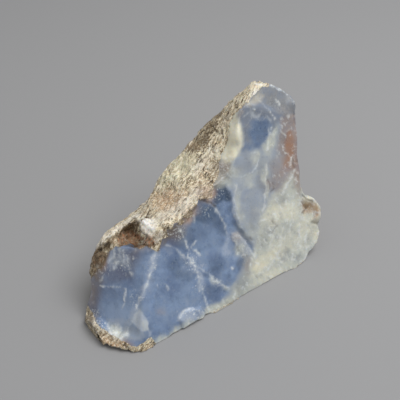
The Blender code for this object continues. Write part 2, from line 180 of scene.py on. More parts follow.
# Soft patches of each tint: centre, half sizes, turn in degrees, strength.
PATCHES = {
    "deep": [
        (195, 236, 14, 12, 0, 0.35), (206, 212, 13, 9, -20, 0.7), (178, 265, 11, 9, 40, 0.4),
        (217, 267, 7, 9, 0, 0.5), (184, 275, 9, 5, 30, 0.4), (176, 240, 11, 7, 10, 0.6),
        (241, 264, 3, 5, 20, 0.8), (118, 272, 12, 6, 0, 0.3), (119, 263, 2, 4, 0, 0.4),
        (132, 256, 3, 7, 0, 0.4), (113, 250, 5, 3, 0, 0.4), (213, 290, 8, 8, 30, 0.3),
        (130, 256, 14, 7, 0, 0.35), (174, 231, 9, 4, -10, 0.8),
    ],
    "violet": [
        (172, 234, 9, 6, -10, 0.7), (95, 300, 7, 18, 10, 0.9), (110, 290, 12, 8, 0, 0.2),
        (120, 276, 14, 7, 0, 0.3), (134, 256, 10, 6, 0, 0.5), (172, 243, 8, 5, 0, 0.5),
    ],
    "milky": [
        (152, 272, 10, 16, 20, 0.45), (206, 246, 10, 14, 20, 0.4), (183, 294, 5, 16, 35, 0.75),
        (150, 305, 18, 12, -35, 0.5), (196, 300, 10, 12, -30, 0.4), (118, 310, 16, 13, 0, 1.0),
        (106, 286, 12, 9, 0, 0.3), (226, 248, 4, 10, 5, 0.8), (160, 322, 20, 10, -20, 0.5),
        (205, 262, 8, 5, 20, 0.4), (140, 270, 5, 12, 10, 0.4),
    ],
    "lilac": [
        (120, 264, 11, 3, 0, 0.35), (118, 323, 7, 4, 0, 0.5), (206, 314, 16, 6, -15, 0.6),
        (182, 234, 5, 8, -10, 0.3), (128, 326, 3, 8, 20, 0.6),
    ],
    "frost": [
        (111, 258, 3.5, 4, 0, 0.7), (114, 267, 3, 3, 0, 0.7), (126, 259, 5, 3, 20, 0.7),
        (118, 256, 2, 6, 0, 0.5), (123, 251, 5, 2, 0, 0.4), (118, 314, 12, 10, 0, 0.18),
        (193, 262, 7, 5, 40, 0.4), (153, 262, 3.5, 14, 20, 0.7), (200, 282, 3, 8, 0, 0.5),
        (118, 323, 8, 3, 0, 0.3), (133, 312, 3, 8, 10, 0.4), (180, 331, 14, 3, -32, 0.5),
        (215, 280, 6, 3, 30, 0.4), (227, 247, 3, 9, 5, 0.6), (206, 316, 14, 4, -15, 0.2),
        (144, 290, 3, 12, 25, 0.5),
    ],
    "smoky": [
        (262, 187, 4, 7, -10, 0.8), (300, 236, 6, 12, 30, 0.3), (222, 163, 6, 7, 0, 0.7),
        (247, 162, 5, 8, 0, 0.4), (262, 172, 4, 10, 0, 0.4), (238, 168, 5, 4, 0, 0.4),
        (275, 168, 5, 14, 0, 0.5), (252, 216, 4, 14, 10, 0.3), (284, 203, 6, 9, 20, 0.3),
    ],
    "pale": [
        (266, 183, 2.5, 16, -5, 0.8), (271, 142, 4, 13, 15, 0.85), (255, 158, 4, 7, 0, 0.8),
        (238, 205, 3, 16, -5, 0.6), (235, 115, 3.5, 9, 20, 0.8), (222, 180, 8, 6, 30, 0.7),
        (138, 318, 5, 9, 10, 0.2), (236, 288, 6, 6, 0, 0.45), (252, 232, 10, 8, 30, 0.5),
        (226, 289, 4, 3, 0, 0.4), (214, 279, 3, 2.5, 0, 0.4), (233, 172, 8, 4, -10, 0.6),
        (240, 250, 5, 7, -30, 0.7), (250, 176, 10, 3, -15, 0.4), (248, 184, 5, 4, 0, 0.5),
        # The patches along the bottom edge, from (160, 341) to (198, 320), are partly paler stone and partly
        # painted light shining through the thin edge.
        (116, 258, 6, 8, 0, 0.15), (160, 341, 10, 4, -25, 0.7), (180, 331, 14, 4, -32, 0.9),
        (198, 320, 10, 3, -20, 0.9), (118, 333, 9, 4.5, 25, 1.0), (268, 222, 10, 12, 0, 0.4),
    ],
    "mauve": [
        (290, 124, 8, 6, 0, 0.6), (297, 178, 4, 16, -10, 0.8), (280, 174, 9, 13, 10, 0.85),
        (280, 200, 9, 8, 0, 0.12), (239, 113, 3, 8, 20, 0.6), (236, 236, 5, 4, 30, 0.6),
        (247, 241, 4, 8, -35, 0.15), (247, 266, 4, 9, 0, 0.5), (270, 186, 4, 5, 0, 0.75),
        (206, 192, 7, 8, 0, 0.6), (187, 219, 10, 4, -50, 0.6), (161, 313, 5, 5, 0, 0.2),
        (211, 168, 6, 8, 20, 0.35), (286, 158, 5, 9, 0, 0.5), (227, 118, 4, 8, 20, 0.3),
        (225, 166, 5, 5, 0, 0.6), (277, 186, 7, 4, 0, 0.4), (142, 248, 8, 4, -10, 0.6),
        (288, 112, 8, 5, 30, 0.25), (307, 204, 5, 4, 0, 0.8), (90, 292, 4, 15, 5, 0.5),
        (176, 228, 7, 4, -20, 0.4),
    ],
    "cream": [
        (272, 218, 10, 10, 0, 0.35), (259, 266, 5, 7, 20, 0.8), (231, 156, 3, 4, 0, 0.9),
        (318, 234, 5, 5, 0, 0.7), (285, 243, 16, 8, -30, 0.3), (316, 213, 4, 8, 0, 0.8),
        (290, 214, 14, 5, -15, 0.5), (270, 276, 16, 5, -30, 0.4), (306, 226, 8, 14, 10, 0.4),
        (309, 200, 5, 2.5, 0, 0.8), (280, 208, 14, 4, -10, 0.4), (270, 255, 12, 6, -30, 0.5),
    ],
    "rust": [
        (289, 146, 4, 12, 3, 0.5), (98, 259, 5, 7, 0, 0.4), (112, 343, 12, 4, 15, 0.3),
        (297, 160, 3, 30, 0, 0.25), (288, 165, 6, 8, 0, 0.35),
    ],
    "ochre": [
        (168, 199, 17, 9, -25, 0.95), (190, 147, 8, 4, 0, 0.8), (206, 192, 8, 8, 0, 0.8),
        (114, 343, 16, 5, 15, 0.8), (205, 170, 8, 10, 20, 0.3), (100, 262, 6, 9, 0, 0.6),
        (188, 214, 9, 5, -40, 0.6), (161, 312, 4, 3, 0, 0.1), (316, 211, 3, 8, 0, 0.45),
    ],
    "grey": [
        (222, 166, 7, 8, 0, 0.9), (226, 178, 6, 5, 0, 0.6), (228, 152, 3, 4, 0, 0.4),
        (288, 232, 4, 9, 10, 0.5), (246, 264, 4, 9, 0, 0.9), (243, 284, 4, 12, 10, 0.9),
        (236, 298, 5, 4, 0, 0.4), (271, 228, 8, 10, 20, 0.7), (297, 258, 6, 5, 0, 0.4),
        (284, 262, 14, 6, -30, 0.3), (262, 244, 5, 10, 0, 0.4), (283, 198, 5, 8, 30, 0.4),
        (254, 288, 8, 5, -30, 0.4), (310, 240, 4, 8, 20, 0.4), (218, 308, 12, 4, -20, 0.15),
    ],
    "mossy": [
        (178, 162, 10, 10, 0, 0.95), (257, 84, 9, 4, 0, 0.8), (168, 178, 14, 9, 0, 0.9),
        (190, 165, 9, 12, 20, 0.6), (152, 225, 12, 6, -30, 0.3), (118, 243, 4, 5, 0, 0.5),
    ],
    "olive_and_shade": [
        # Partly painted shade: the patch at (203, 134) darkens the rind's far side near its upper edge.
        (203, 134, 6, 14, 40, 0.5), (194, 150, 4, 2, 0, 0.6), (174, 233, 9, 4, -10, 0.5),
        (104, 351, 16, 4, 10, 0.8), (92, 322, 5, 9, -20, 0.9), (102, 333, 8, 3, 35, 0.5),
        (318, 222, 4, 3, 20, 0.4), (306, 203, 5, 3, 20, 0.75), (148, 205, 2, 2, 0, 0.7),
        # Partly painted shade: the patches at (97, 262), (97, 272) and (98, 250) darken the rim's left tip,
        # which lies in shade.
        (97, 262, 6, 10, 0, 0.8), (156, 180, 2, 2, 0, 0.7), (170, 161, 2, 2, 0, 0.6),
        (148, 349, 10, 4, 0, 0.6), (133, 226, 6, 5, 0, 0.3), (95, 290, 6, 16, 5, 0.4),
        (97, 272, 5, 8, 0, 0.5), (229, 148, 4, 14, 15, 0.2), (314, 208, 4, 5, 0, 0.3),
        (311, 207, 6, 5, 20, 0.4), (107, 245, 4, 6, 20, 0.7), (98, 250, 5, 2.5, 0, 1.0),
        (150, 243, 4, 3, 0, 0.6),
    ],
    "cave": [
        # The patch at (97, 259) adds to the painted shade at the rim's left tip.
        (132, 240, 14, 5, -8, 1.0), (97, 259, 6, 9, 0, 0.4), (148, 240, 5, 4, 20, 0.8),
        (127, 237, 10, 4, 0, 0.6),
    ],
    "chalk": [
        (147, 226, 7, 9, -5, 1.0), (146, 221, 5, 4, 0, 1.0), (105, 268, 6, 4, 0, 0.8),
        (200, 166, 4, 10, 35, 0.4), (120, 337, 12, 3, 18, 0.4), (256, 84, 7, 3, 0, 0.4),
        (212, 150, 5, 6, 40, 0.3), (254, 96, 7, 3, -40, 0.8), (262, 84, 5, 2, 0, 0.8),
        (150, 340, 4, 3, 0, 0.4), (98, 322, 8, 6, 30, 0.4), (160, 236, 6, 4, -20, 0.5),
    ],
    "speckle": [
        (218, 194, 8, 7, 0, 0.7), (223, 168, 7, 9, 0, 0.6), (122, 258, 11, 8, 0, 0.5),
        (104, 271, 6, 6, 0, 0.8), (192, 262, 8, 6, 40, 1.0), (196, 312, 16, 6, -15, 0.8),
        (243, 250, 6, 7, 40, 0.8), (205, 211, 6, 5, 0, 0.6), (106, 330, 14, 7, 20, 0.9),
        (119, 333, 9, 4, 20, 0.6), (276, 104, 8, 6, 0, 0.3), (272, 230, 8, 10, 0, 0.6),
        (300, 245, 12, 14, 0, 0.4), (153, 264, 5, 15, 20, 0.5), (138, 300, 6, 10, 20, 0.6),
        (216, 280, 6, 4, 30, 0.6), (198, 287, 5, 8, 0, 0.7), (306, 218, 10, 10, 0, 0.5),
        (125, 268, 8, 6, 0, 0.5), (174, 232, 9, 6, 0, 0.8), (94, 316, 6, 8, 0, 0.7), (292, 156, 3, 8, 0, 0.5),
        (120, 262, 6, 5, 0, 0.4),
    ],
}

# Outlines that two tints share.
NOTCH = [(126, 328), (133, 326), (141, 330), (147, 336), (141, 341), (133, 341), (127, 336)]
PEAK_BLOTCH = [(244, 106), (252, 98), (258, 92), (263, 96), (259, 103), (250, 107)]

# Forms with a clearer edge, in the same tints: strength, half width of the edge, outline.
AREAS = {
    "deep": [
        (0.4, 4, [(243, 110), (252, 104), (263, 106), (273, 112), (278, 120), (275, 130), (268, 140),
                  (262, 152), (257, 148), (250, 150), (245, 140), (240, 128), (239, 118)]),
        (0.3, 3, [(254, 122), (262, 119), (269, 123), (268, 131), (262, 141), (257, 141), (252, 130)]),
        (1.0, 1.5, [(213, 187), (226, 187), (231, 193), (232, 200), (224, 201), (215, 205), (213, 198)]),
        (0.6, 3, [(200, 201), (214, 207), (219, 215), (225, 223), (227, 236), (220, 234), (211, 224),
                  (196, 222), (188, 226), (193, 212)]),
        (0.6, 2, NOTCH),
        (0.55, 2, [(231, 222), (238, 222), (247, 233), (252, 245), (246, 241), (237, 231)]),
    ],
    "violet": [
        (0.5, 4, [(104, 262), (112, 252), (122, 248), (138, 252), (142, 262), (134, 276), (115, 282),
                  (98, 286), (94, 278)]),
    ],
    "lilac": [
        (0.9, 4, [(214, 187), (217, 178), (224, 170), (233, 164), (240, 152), (246, 150), (257, 150),
                  (268, 142), (276, 128), (282, 140), (285, 168), (300, 170), (296, 190), (275, 195),
                  (265, 220), (260, 235), (260, 252), (252, 245), (247, 231), (235, 217), (233, 200),
                  (231, 192), (226, 187)]),
        (0.5, 2, NOTCH),
        (0.85, 1.5, [(231, 233), (236, 231), (243, 238), (251, 250), (256, 262), (250, 260), (244, 254),
                     (237, 249)]),
        (0.8, 2.5, [(242, 268), (249, 268), (244, 282), (238, 292), (229, 299), (222, 300), (231, 290),
                    (236, 279)]),
    ],
    "frost": [
        (0.65, 1.2, [(177, 321), (180, 312), (186, 308), (194, 311), (197, 317), (188, 322)]),
        (0.95, 1.0, [(139, 309), (145, 317), (148, 324), (149, 331), (143, 332), (137, 327), (131, 322),
                     (134, 315)]),
    ],
    "smoky": [
        (0.95, 3, [(240, 94), (247, 74), (262, 68), (285, 76), (302, 92), (308, 118), (290, 118), (282, 117),
                   (272, 108), (262, 104), (252, 103), (246, 105), (243, 107)]),
        (0.65, 4, [(236, 112), (246, 105), (262, 104), (276, 110), (282, 118), (278, 130), (270, 140),
                   (271, 123), (262, 117), (252, 121), (248, 132), (252, 142), (246, 148), (240, 138),
                   (238, 128)]),
    ],
    "pale": [
        (0.95, 3, [(296, 168), (292, 170), (287, 178), (281, 186), (272, 196), (266, 208), (262, 221),
                   (258, 233), (255, 246), (251, 256), (247, 266), (243, 276), (238, 288), (230, 297),
                   (218, 303), (207, 307), (203, 322), (240, 330), (290, 310), (330, 275), (345, 230),
                   (330, 190), (304, 180)]),
        (0.4, 1.5, [(141, 322), (147, 321), (149, 331), (143, 332)]),
        (0.6, 3, [(205, 160), (228, 158), (234, 166), (229, 178), (222, 188), (204, 188)]),
        (0.8, 2, [(210, 168), (210, 146), (220, 130), (226, 114), (232, 106), (235, 116), (231, 140),
                  (228, 166)]),
    ],
    "mauve": [
        (0.35, 3, [(216, 160), (226, 162), (230, 168), (224, 178), (218, 187), (213, 184)]),
        (0.4, 3, PEAK_BLOTCH),
        (0.95, 3, [(281, 118), (290, 115), (310, 112), (312, 150), (304, 168), (294, 169), (285, 168),
                   (280, 158), (277, 150), (280, 128)]),
    ],
    "cream": [
        (0.95, 3.5, [(233, 110), (237, 118), (241, 127), (242, 136), (242, 146), (239, 154), (233, 162),
                     (227, 163), (222, 158), (225, 142), (228, 128)]),
        (0.3, 3, PEAK_BLOTCH),
    ],
    "rust": [
        (0.5, 2, [(286, 131), (292, 130), (295, 140), (293, 156), (288, 160), (285, 148)]),
    ],
    "ochre": [
        (0.6, 2, [(302, 204), (308, 202), (315, 204), (320, 212), (316, 218), (312, 213), (303, 213)]),
    ],
    "olive_and_shade": [
        # Dark brown rind near its upper edge, partly painted shade on the rind's far side.
        (0.85, 3, [(214, 106), (224, 108), (219, 122), (213, 134), (206, 146), (196, 152), (186, 152),
                   (196, 136), (204, 122)]),
        (0.62, 1.5, [(103, 245), (111, 236), (119, 230), (127, 225), (136, 219), (140, 225), (139, 233),
                     (126, 232), (116, 237), (111, 246), (104, 253)]),
        (0.38, 3, [(213, 160), (228, 160), (232, 168), (226, 180), (216, 187), (208, 182)]),
        (0.45, 2, [(154, 248), (156, 238), (166, 230), (178, 222), (188, 213), (193, 205), (198, 206),
                   (190, 217), (182, 225), (173, 233), (165, 245), (158, 253)]),
        # Dark brown rind at the rim's left tip and the left edge below it, darkened further as painted shade.
        (0.9, 1.5, [(84, 246), (98, 250), (106, 254), (110, 249), (106, 261), (100, 267), (94, 275),
                    (88, 284), (80, 284), (78, 255)]),
    ],
    "cave": [
        (1.0, 1.5, [(117, 236), (122, 233), (130, 232), (140, 235), (147, 238), (155, 238), (154, 246),
                    (146, 246), (138, 248), (130, 244), (121, 246), (117, 242)]),
    ],
    "chalk": [
        (0.5, 1, [(92, 248), (98, 240), (105, 234), (115, 227), (127, 220), (136, 213), (143, 214),
                  (134, 219), (128, 224), (120, 229), (114, 233), (109, 237), (102, 243), (97, 249)]),
        (0.4, 3, [(196, 185), (203, 191), (196, 202), (186, 212), (172, 219), (156, 226), (148, 224),
                  (158, 213), (172, 206), (184, 197)]),
    ],
}

# On the sides that the photograph hides, each tint comes and goes in lumps: their size in millimetres, their
# seed, how bare they leave the surface (-1 for not at all, 1 for wholly) and their strength.
HIDDEN_STAINS = (
    ("ochre", 13, 5, 0.0, 0.6), ("mossy", 11, 6, 0.0, 0.7), ("olive_and_shade", 9, 45, 0.0, 0.7),
    ("chalk", 12, 46, 0.0, 0.5), ("lilac", 6, 47, -0.7, 0.9), ("smoky", 5, 48, -0.3, 0.8),
    ("speckle", 3, 7, 0.0, 0.9),
)
STAIN_EDGE = 0.5  # how much the noise rises from bare surface to full tint

STONE_TINTS = (
    "deep", "violet", "milky", "lilac", "frost", "smoky", "pale", "grey", "mauve", "cream", "ochre", "rust",
    "olive_and_shade",
)
RIND_TINTS = ("ochre", "mauve", "mossy", "olive_and_shade", "cave", "chalk")

# The thin dark hollow under the rim's left half.
CAVE_OUTLINE = [
    (99, 250), (104, 245), (111, 238), (116, 233), (122, 229), (130, 224), (136, 221), (134, 236), (128, 242),
    (121, 245), (114, 249), (108, 254), (101, 256),
]
CAVE_DEPTH = 1.6  # millimetres
CAVE_LIP = (0, 3)  # pixels over which its edge falls away

# The rounded swellings of the cream bulge, the crusty toe and the peak's right corner: centre, half sizes,
# turn in degrees, and height in millimetres.
SWELLINGS = [(234, 142, 6, 12, 20, 0.8), (94, 332, 13, 8, 45, 2.4), (293, 101, 6, 9, 20, 1.1)]

# Thin marks of each kind: strength, half width and the points that the mark runs through.
WHITE_VEINS_AND_HIGHLIGHTS = [
    (0.5, 1.4, [(157, 249), (153, 258), (151, 268), (149, 279)]),
    (1.0, 1.2, [(150, 274), (149, 279)]),
    (0.8, 1.0, [(149, 279), (144, 289), (140, 298), (136, 308)]),
    (0.9, 0.75, [(180, 231), (185, 240), (189, 250), (187, 257), (191, 262), (200, 268)]),
    (0.55, 0.9, [(166, 245), (176, 249), (184, 256), (191, 262)]),
    (0.45, 1.8, [(185, 258), (192, 262), (199, 268)]),
    (0.85, 0.75, [(198, 267), (207, 273), (213, 279), (223, 285), (229, 289)]),
    (0.3, 1.4, [(212, 278), (219, 281)]),
    (0.75, 0.8, [(191, 262), (196, 269), (199, 276), (201, 286), (203, 293), (206, 303), (211, 312)]),
    (0.55, 1.6, [(196, 270), (200, 279), (200, 290)]),
    (0.7, 0.8, [(209, 203), (214, 209), (220, 215), (223, 221), (226, 229), (228, 236)]),
    (1.0, 0.9, [(232, 237), (237, 245), (242, 252), (246, 257)]),
    (0.6, 0.7, [(237, 233), (244, 240), (250, 250), (255, 258)]),
    (0.9, 0.9, [(195, 242), (192, 247), (195, 251), (199, 255)]),
    (0.5, 0.8, [(193, 215), (195, 222)]),
    (0.9, 0.6, [(100, 287), (108, 286.5), (121, 287)]),
    (1.0, 0.75, [(126, 290), (125, 298), (122, 308)]),
    (0.6, 0.8, [(157, 284), (158, 287)]),
    (0.6, 0.8, [(167, 286), (168, 290)]),
    (0.6, 0.7, [(233, 175), (241, 177), (247, 175), (254, 170), (259, 161), (256, 152), (251, 153)]),
    (0.7, 0.7, [(266, 165), (266, 180), (265, 196), (263, 210)]),
    (0.5, 0.8, [(236, 184), (234, 196), (235, 210), (240, 222)]),
    (0.7, 0.8, [(262, 221), (276, 214), (290, 209), (302, 204)]),
    (0.6, 0.9, [(179, 318), (184, 311), (192, 309), (200, 311)]),
    (0.5, 0.8, [(233, 198), (233, 214), (237, 222), (244, 231)]),
    (1.0, 0.8, [(266, 83), (273, 86.5), (281, 90.5), (289, 96), (293, 101), (291, 104)]),
    (0.5, 0.7, [(250, 92), (256, 97), (262, 104), (268, 110)]),
    (0.35, 0.7, [(243, 118), (249, 112), (256, 118), (262, 111)]),
    (0.35, 0.7, [(248, 106), (252, 112), (250, 121), (244, 127)]),
    (0.3, 0.7, [(256, 118), (262, 121), (266, 117), (271, 121)]),
    (0.35, 0.9, [(246, 91), (253, 94), (259, 101)]),
    (0.8, 0.7, [(268, 129), (269, 140), (268, 150)]),
    (0.35, 0.7, [(286, 131), (291, 129), (295, 130)]),
    (0.7, 0.8, [(293, 154), (291, 160), (290, 166)]),
    (0.7, 0.9, [(295, 170), (289, 181), (284, 192)]),
    (0.9, 1.0, [(290, 220), (290, 232)]),
    (0.8, 1.0, [(305, 238), (306, 252)]),
    (0.8, 0.9, [(293, 250), (292, 262)]),
    (0.7, 0.9, [(283, 229), (280, 238), (282, 246)]),
    (0.6, 0.9, [(299, 224), (300, 236), (297, 246)]),
    (0.6, 0.8, [(274, 250), (279, 258), (277, 266)]),
    (0.6, 0.9, [(302, 262), (306, 256), (305, 250)]),
    (0.5, 1.0, [(276, 222), (273, 238), (267, 250)]),
    (0.5, 1.0, [(282, 244), (276, 258), (268, 270)]),
    (0.7, 1.1, [(113, 249), (114, 256)]),
    (0.6, 1.1, [(119, 247), (119, 257)]),
    (0.7, 1.2, [(112, 258), (109, 262)]),
    (0.6, 1.1, [(123, 252), (124, 263)]),
    (0.6, 1.1, [(128, 256), (128, 266), (132, 276)]),
    (0.6, 1.2, [(117, 262), (114, 269)]),
    (0.6, 0.9, [(102, 278), (100, 281)]),
    (1.0, 2.3, [(112, 327), (111, 335)]),
    (0.9, 3.2, [(111, 330), (124, 335)]),
    (1.0, 2.3, [(116, 328), (116, 337)]),
    (1.0, 2.3, [(121, 329), (121, 339)]),
    (0.6, 1.1, [(125, 333), (127, 338)]),
    (0.6, 0.9, [(158, 342), (172, 336), (181, 330)]),
    # Painted highlight: the bright line of light along the stone's lower right edge.
    (0.6, 0.8, [(200, 319), (212, 315), (224, 314), (238, 306), (252, 295), (262, 289), (276, 280),
                (300, 267)]),
    (0.6, 0.9, [(147, 322), (148, 330), (151, 337)]),
    (0.5, 1.0, [(133, 322), (128, 330)]),
]
# Painted highlights: small white spots that stand for glints of light on the stone.
GLINTS = [
    (277, 101), (279, 104), (270, 112), (272, 115), (274, 118), (271, 128), (291, 158), (290, 164),
    (206, 209.5), (230, 157), (232, 268), (318, 233), (133, 258), (116, 264), (254, 109), (300, 208),
]
GLINT_SIZE = 1.3
# Dark lines: mostly cracks, with the painted shadow under the rind's lip and painted shade at the rim's left
# tip.
DARK_CRACKS_AND_SHADE_LINES = [
    # Painted shadow under the overhanging lip of the rind.
    (1.0, 1.1, [(199, 199), (205, 201.5), (211, 203), (214, 207)]),
    (0.5, 0.7, [(195, 207), (190, 216), (183, 223)]),
    (0.9, 1.6, [(118, 246), (124, 243), (135, 247), (146, 244), (152, 246)]),
    (1.0, 1.3, [(136, 218), (138, 226), (142, 234)]),
    (0.8, 1.0, [(149, 238), (154, 243), (155, 246)]),
    (0.7, 1.0, [(118, 236), (121, 243)]),
    # Painted shade at the rim's left tip.
    (1.0, 4.0, [(95, 250), (96, 258), (98, 265)]),
    (0.7, 0.8, [(302, 203), (306, 207), (303, 213)]),
    (0.7, 0.9, [(303, 195), (307, 199), (313, 202)]),
    (0.5, 0.9, [(297, 118), (299, 140), (298, 160), (301, 180)]),
    (0.5, 0.7, [(272, 182), (275, 188), (271, 193)]),
    (0.6, 0.9, [(250, 238), (252, 240)]),
    (0.5, 0.7, [(268, 180), (270, 186), (269, 190)]),
    (0.5, 0.8, [(293, 158), (294, 168)]),
    (0.7, 1.2, [(312, 222), (318, 224), (320, 228)]),
    (0.7, 1.3, [(93, 325), (104, 336), (118, 343), (130, 348)]),
    (0.7, 1.3, [(87, 306), (91, 317), (98, 328), (108, 335), (117, 339)]),
    (0.5, 0.9, [(272, 221), (277, 226), (273, 232)]),
    (0.3, 0.8, [(258, 234), (264, 238), (268, 244)]),
]


def unit(vector):
    """The vector at a length of one."""
    return np.array(Vector(vector).normalized())


def face_upward():
    """The direction that runs straight up the leaning front face."""
    return np.cross((1, 0, 0), unit(FRONT_FACE[1])) * -1


def smooth_step(low, high, value):
    """Rises softly from 0 at low to 1 at high, or falls when low is above high."""
    share = np.clip((value - low) / (high - low), 0, 1)
    return share * share * (3 - 2 * share)


def part_way(span, share):
    """Goes from the first end of a span to the second as share goes from 0 to 1."""
    return span[0] + (span[1] - span[0]) * share


def wavy(points, size, seed):
    """Smooth noise from about -1 to 1 at each point, with lumps about as wide as size."""
    shift = Vector((seed * 17.3, seed * 5.7, seed * 11.1))
    return np.array([noise.noise(Vector(p) / size + shift) for p in points])


def layered(points, layers):
    """Adds up layers of noise."""
    return sum(height * wavy(points, size, seed) for height, size, seed in layers)


def sideways(points, size, seed):
    """Two noises that shift a place on the photograph, one across and one down."""
    return np.column_stack((wavy(points, size, seed), wavy(points, size, seed + 1)))


def spots(points, size, seed, low, high):
    """Soft spots where the noise is high: none where it is below low, and one from high on."""
    return smooth_step(low, high, wavy(points, size, seed))


def drawn_out(points, direction, times):
    """Squeezes space along a direction, so that noise read there comes out that many times longer."""
    along = unit(direction)
    return points - np.outer(points @ along, along) * (1 - 1 / times)


def distance_to_line(points, line):
    """How far each flat point is from a broken line."""
    best = np.full(len(points), np.inf)
    for start, end in zip(line, line[1:]):
        a, b = np.array(start, float), np.array(end, float)
        along = np.clip((points - a) @ (b - a) / ((b - a) @ (b - a)), 0, 1)
        best = np.minimum(best, np.linalg.norm(points - a - along[:, None] * (b - a), axis=1))
    return best


def inside(points, outline):
    """True for each flat point that lies within a closed outline."""
    found = np.zeros(len(points), bool)
    x, y = points[:, 0], points[:, 1]
    for (x0, y0), (x1, y1) in zip(outline, outline[1:] + outline[:1]):
        crosses = (y0 > y) != (y1 > y)
        if y0 != y1:
            found ^= crosses & (x < x0 + (y - y0) * (x1 - x0) / (y1 - y0))
    return found


def signed_edge(points, outline):
    """Distance inside a closed outline, and below zero outside it."""
    return distance_to_line(points, outline + outline[:1]) * np.where(inside(points, outline), 1, -1)


def patch(points, centre_x, centre_y, half_width, half_height, turn, strength):
    """A soft oval of one tint on the photograph."""
    angle = np.radians(turn)
    x, y = points[:, 0] - centre_x, points[:, 1] - centre_y
    across = (x * np.cos(angle) + y * np.sin(angle)) / half_width
    down = (y * np.cos(angle) - x * np.sin(angle)) / half_height
    return strength * np.exp(-PATCH_FALL * (across**2 + down**2) ** PATCH_FLATNESS)


class Surface:
    """The stone's points in drawing millimetres, the links between them, and the way each one faces."""

    def __init__(self, mesh):
        self.mesh = mesh
        self.places = self.read(mesh.vertices, "co")
        self.links = np.empty(len(mesh.edges) * 2, np.int32)
        mesh.edges.foreach_get("vertices", self.links)
        self.links = self.links.reshape(-1, 2)
        self.face()

    def read(self, points, name):
        """One vector of each point, as rows of three numbers."""
        values = np.empty(len(points) * 3, np.float32)
        points.foreach_get(name, values)
        return values.reshape(-1, 3).astype(float)

    def face(self):
        """Writes the points back and reads the way each one faces."""
        self.mesh.vertices.foreach_set("co", self.places.astype(np.float32).ravel())
        self.mesh.update()
        self.normals = self.read(self.mesh.vertex_normals, "vector")

    def spread(self, values, rounds, share=0.5):
        """Evens out a value or a place over neighbouring points."""
        near, far = self.links.T
        count = np.bincount(self.links.ravel(), minlength=len(self.places))
        values = values.reshape(len(values), -1).copy()
        share = np.broadcast_to(share, len(values))[:, None]
        for _ in range(rounds):
            columns = [
                np.bincount(near, column[far], len(column)) + np.bincount(far, column[near], len(column))
                for column in values.T
            ]
            values += share * (np.column_stack(columns) / count[:, None] - values)
        return values.squeeze()


class View:
    """The surface as the camera sees it, with places in pixels of the photograph."""

    def __init__(self, surface, camera):
        eye, target = (np.array(place) / MM + DRAWING_ORIGIN for place in (camera.eye, camera.target))
        self.ahead = unit(target - eye)
        right = unit(np.cross(self.ahead, (0, 0, 1)))
        up = np.cross(right, self.ahead)
        offset = surface.places - eye
        depth = offset @ self.ahead
        scale = PHOTO_SIZE * camera.lens / camera.sensor / depth
        middle = PHOTO_SIZE / 2
        self.photo = np.column_stack((middle + offset @ right * scale, middle - offset @ up * scale))
        self.seen = self.in_sight(depth, -surface.normals @ self.ahead)

    def in_sight(self, depth, facing):
        """One where the camera sees the surface or it just turns away, and none behind that."""
        cells = np.floor(self.photo / SIGHT_CELL).astype(int) @ (1, CELL_ROW)
        nearest = np.full(cells.max() + 1, np.inf)
        np.minimum.at(nearest, cells, depth)
        return smooth_step(*TURNED_AWAY, facing) * smooth_step(*BEHIND, depth - nearest[cells])


def fine_mesh(node, voxel):
    """The CAD stone as an even fine mesh, in drawing millimetres."""
    bm = bmesh.new()
    bm.from_mesh(node.data)
    bmesh.ops.remove_doubles(bm, verts=bm.verts, dist=1e-6)
    bmesh.ops.scale(bm, verts=bm.verts, vec=(1 / MM, 1 / MM, 1 / MM))
    bmesh.ops.translate(bm, verts=bm.verts, vec=DRAWING_ORIGIN)
    coarse = bpy.data.meshes.new("coarse")
    bm.to_mesh(coarse)
    bm.free()
    draft = bpy.data.objects.new("draft", coarse)
    bpy.context.collection.objects.link(draft)
    even = draft.modifiers.new("even", "REMESH")
    even.mode = "VOXEL"
    even.voxel_size = voxel
    bpy.context.view_layer.update()
    fine = bpy.data.meshes.new_from_object(draft.evaluated_get(bpy.context.evaluated_depsgraph_get()))
    bpy.data.objects.remove(draft)
    bpy.data.meshes.remove(coarse)
    return fine


def fracture_relief(drawn):
    """How far the front face stands out from flat: the sunk blue floor and its ledge, and smaller marks."""
    from_ledge = distance_to_line(drawn, FLOOR_EDGE)
    on_floor = smooth_step(*LEDGE_SLOPE, signed_edge(drawn, FLOOR_EDGE + FLOOR_REST))
    fade = smooth_step(*FLOOR_START, drawn[:, 1]) * np.exp(-((from_ledge / FLOOR_REACH) ** 2))
    relief = -FLOOR_DEPTH * on_floor * fade
    for outline, rise, slope in RAISED_FORMS:
        relief += rise * smooth_step(*slope, signed_edge(drawn, outline))
    from_dent = (drawn - np.array(RUST_DENT[0])) / np.array(RUST_DENT[1])
    relief -= DENT_DEPTH * np.exp(-(from_dent**2).sum(axis=1))
    return relief


def without_facets(surface):
    """Smooths away the CAD stone's small facets, except along its edges."""
    broad = surface.spread(surface.normals, LOOK_ROUND)
    broad /= np.linalg.norm(broad, axis=1)[:, None]
    flatness = smooth_step(*IS_FLAT, (broad * surface.normals).sum(axis=1))
    surface.places = surface.spread(surface.places, SMOOTH_ROUNDS, part_way(SMOOTH_SHARES, flatness))
    surface.face()


